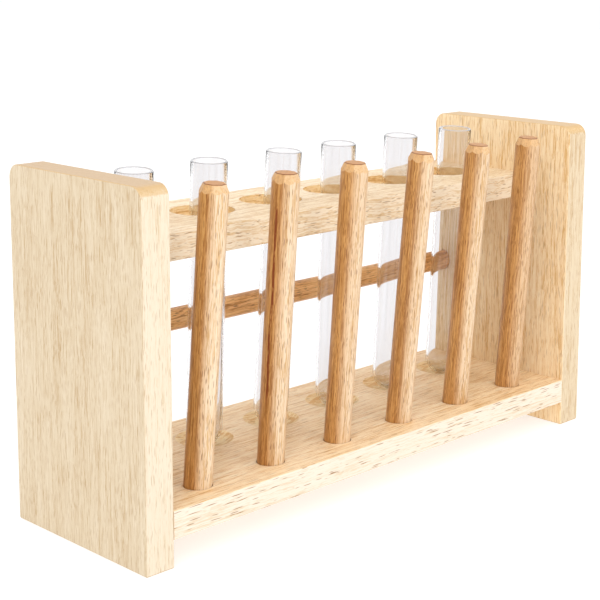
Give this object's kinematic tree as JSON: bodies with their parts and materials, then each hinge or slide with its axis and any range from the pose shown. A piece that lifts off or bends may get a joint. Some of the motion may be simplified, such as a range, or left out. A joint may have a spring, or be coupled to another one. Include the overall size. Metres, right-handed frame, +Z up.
{
  "type": "test tube rack",
  "caption": "Wooden test tube rack with end panels, dished base, bored top shelf, rear rail and leaning drying pegs, holding loose round-bottom glass test tubes.",
  "frame": {"origin": "on the ground under the centre of the rack's overall box", "axes": "+X along the rack, +Y to the rear where the rail is, so the pegs are at the front on -Y, +Z up"},
  "size_m": [0.277, 0.085, 0.15],
  "materials": {
    "panel_beech": "pale sanded beech, clear satin finish",
    "shelf_beech": "pale sanded beech, clear satin finish",
    "peg_beech": "warm brown steamed beech dowel, satin",
    "rail_beech": "warm brown steamed beech dowel, satin",
    "dowel_beech": "raw beech joint dowel",
    "tube_glass": "clear borosilicate glass, gloss"
  },
  "bodies": {
    "rack": {"left_end_panel": "panel_beech", "right_end_panel": "panel_beech", "base_shelf": "shelf_beech", "top_shelf": "shelf_beech", "back_rail": "rail_beech", "drying_peg_1": "peg_beech", "drying_peg_2": "peg_beech", "drying_peg_3": "peg_beech", "drying_peg_4": "peg_beech", "drying_peg_5": "peg_beech", "drying_peg_6": "peg_beech", "base_dowel_left_front": "dowel_beech", "base_dowel_left_rear": "dowel_beech", "top_dowel_left_front": "dowel_beech", "top_dowel_left_rear": "dowel_beech", "base_dowel_right_front": "dowel_beech", "base_dowel_right_rear": "dowel_beech", "top_dowel_right_front": "dowel_beech", "top_dowel_right_rear": "dowel_beech"},
    "tube_1": {"test_tube_1": "tube_glass"},
    "tube_2": {"test_tube_2": "tube_glass"},
    "tube_3": {"test_tube_3": "tube_glass"},
    "tube_4": {"test_tube_4": "tube_glass"},
    "tube_5": {"test_tube_5": "tube_glass"},
    "tube_6": {"test_tube_6": "tube_glass"}
  },
  "joints": [
    {"name": "tube_1_lift", "type": "slide", "parent": "rack", "child": "tube_1", "axis": [-0.0143, -0.0559, 0.9983], "range_m": [0, 0.115]},
    {"name": "tube_2_lift", "type": "slide", "parent": "rack", "child": "tube_2", "axis": [-0.0138, -0.056, 0.9983], "range_m": [0, 0.115]},
    {"name": "tube_3_lift", "type": "slide", "parent": "rack", "child": "tube_3", "axis": [0.0182, -0.0548, 0.9983], "range_m": [0, 0.115]},
    {"name": "tube_4_lift", "type": "slide", "parent": "rack", "child": "tube_4", "axis": [-0.024, -0.0525, 0.9983], "range_m": [0, 0.115]},
    {"name": "tube_5_lift", "type": "slide", "parent": "rack", "child": "tube_5", "axis": [-0.0066, -0.0573, 0.9983], "range_m": [0, 0.115]},
    {"name": "tube_6_lift", "type": "slide", "parent": "rack", "child": "tube_6", "axis": [-0.0053, -0.0575, 0.9983], "range_m": [0, 0.115]}
  ]
}
